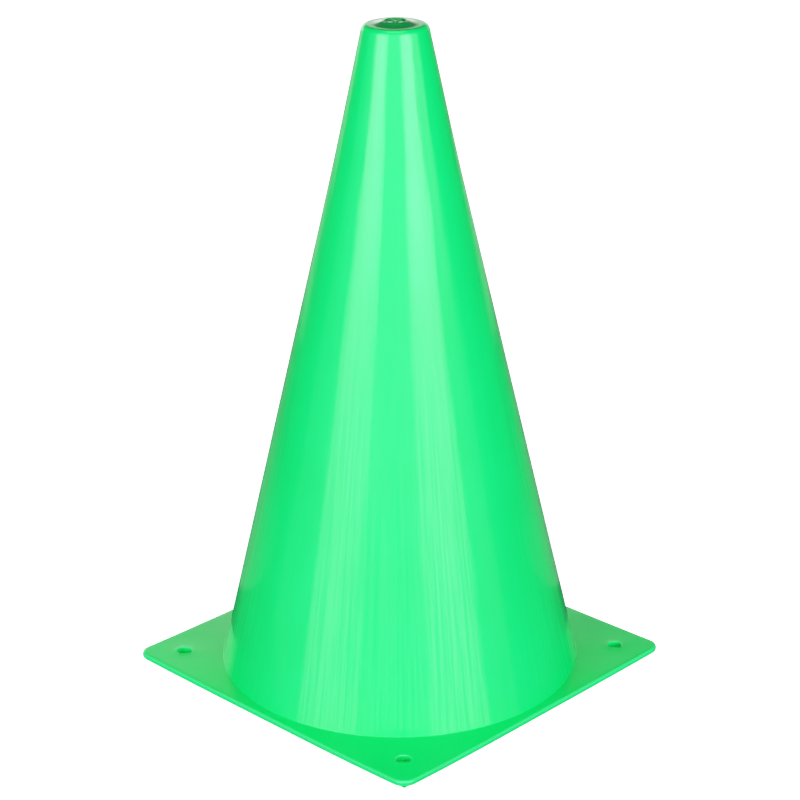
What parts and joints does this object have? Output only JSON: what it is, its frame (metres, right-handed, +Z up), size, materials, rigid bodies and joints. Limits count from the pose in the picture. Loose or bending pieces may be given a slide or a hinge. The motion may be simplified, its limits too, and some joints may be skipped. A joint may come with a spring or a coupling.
{
  "type": "traffic cone",
  "caption": "Small green plastic marker cone: hollow conical moulding with a closed top that carries a low boss, and a thin square base plate with corner peg holes.",
  "frame": {"origin": "centre of the base plate's underside, on the floor", "axes": "+Z up along the cone's axis; X and Y square to the sides of the base plate"},
  "size_m": [0.1334, 0.1334, 0.2307],
  "materials": {
    "cone_plastic": "glossy moulded green polyethylene, evenly coloured through, with faint vertical polishing lines"
  },
  "bodies": {
    "root": {"cone_moulding": "cone_plastic"}
  },
  "joints": []
}
